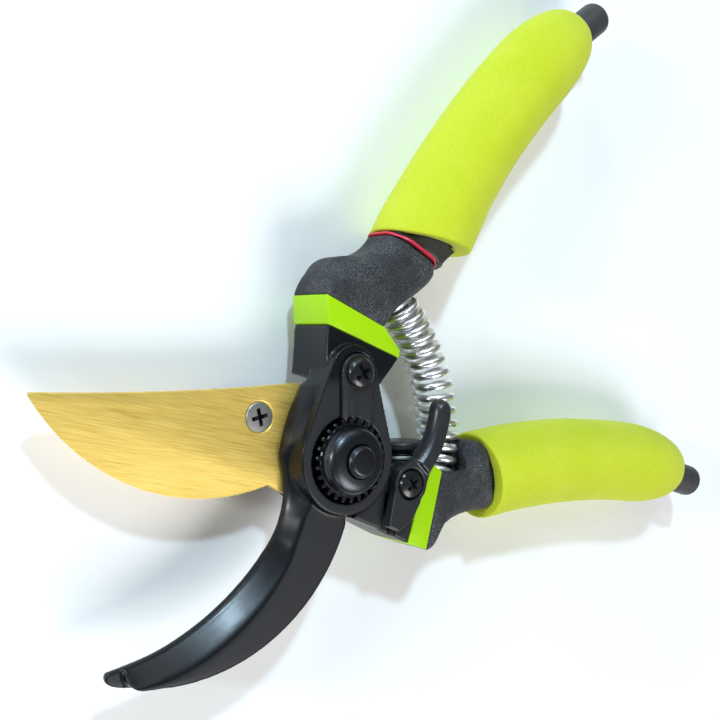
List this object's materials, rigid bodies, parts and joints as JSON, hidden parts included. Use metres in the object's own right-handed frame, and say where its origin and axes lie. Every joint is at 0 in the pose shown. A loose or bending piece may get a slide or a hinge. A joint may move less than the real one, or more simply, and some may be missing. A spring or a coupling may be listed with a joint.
{
  "type": "bypass pruning shears",
  "caption": "Bypass pruning shears lying open, with a curved hook, a gold blade, a toothed pivot nut, a coil spring, a thumb latch and foam handle sleeves.",
  "frame": {"origin": "on the pivot axis, at the resting plane under the pivot bolt's head", "axes": "+Z along the pivot axis towards the nut, +X towards the lower handle, +Y towards the upper handle's side"},
  "size_m": [0.2031, 0.1583, 0.0264],
  "materials": {
    "gloss_black": "satin to gloss black enamel",
    "lime_band": "glossy lime green",
    "black_rubber": "speckled textured rubber",
    "red_line": "thin red line",
    "core_black": "smooth satin black",
    "lime_foam": "soft closed-cell foam with a fine mottled skin",
    "black_steel": "black oxide",
    "bright_steel": "bright zinc",
    "bronze": "plain bearing bronze",
    "spring_chrome": "bright plated wire",
    "gold_blade": "gold coated steel, brushed along the blade",
    "bumper_rubber": "smooth dark rubber"
  },
  "bodies": {
    "hook_side": {"hook_casting": "gloss_black", "upper_band": "lime_band", "upper_neck": "black_rubber", "upper_pinstripe": "red_line", "upper_core": "core_black", "upper_sleeve": "lime_foam", "upper_tip": "core_black", "pivot_bolt": "black_steel", "pivot_bush": "bronze", "adjusting_nut": "gloss_black", "nut_lock_plate": "gloss_black", "lock_plate_screw": "black_steel", "upper_spring_stud": "bright_steel", "return_spring": "spring_chrome"},
    "blade_side": {"blade": "gold_blade", "blade_screw": "bright_steel", "lower_casting": "gloss_black", "lower_band": "lime_band", "lower_neck": "black_rubber", "lower_core": "core_black", "lower_sleeve": "lime_foam", "lower_tip": "core_black", "bumper_seat": "bright_steel", "bumper": "bumper_rubber", "lower_spring_stud": "bright_steel", "latch_washer": "bright_steel", "latch_screw": "black_steel"},
    "latch": {"thumb_latch": "gloss_black"}
  },
  "joints": [
    {"name": "shears_hinge", "type": "hinge", "parent": "hook_side", "child": "blade_side", "pos_m": [0, 0, 0.011], "axis": [0, 0, 1], "range_deg": [0, 45], "stiffness_Nm_per_rad": 0.8, "springref_deg": -17.19, "deforming": ["return_spring"]},
    {"name": "latch_pivot", "type": "hinge", "parent": "blade_side", "child": "latch", "pos_m": [0.0169, -0.00675, 0.0202], "axis": [0, 0, 1], "range_deg": [-12, 0]}
  ]
}
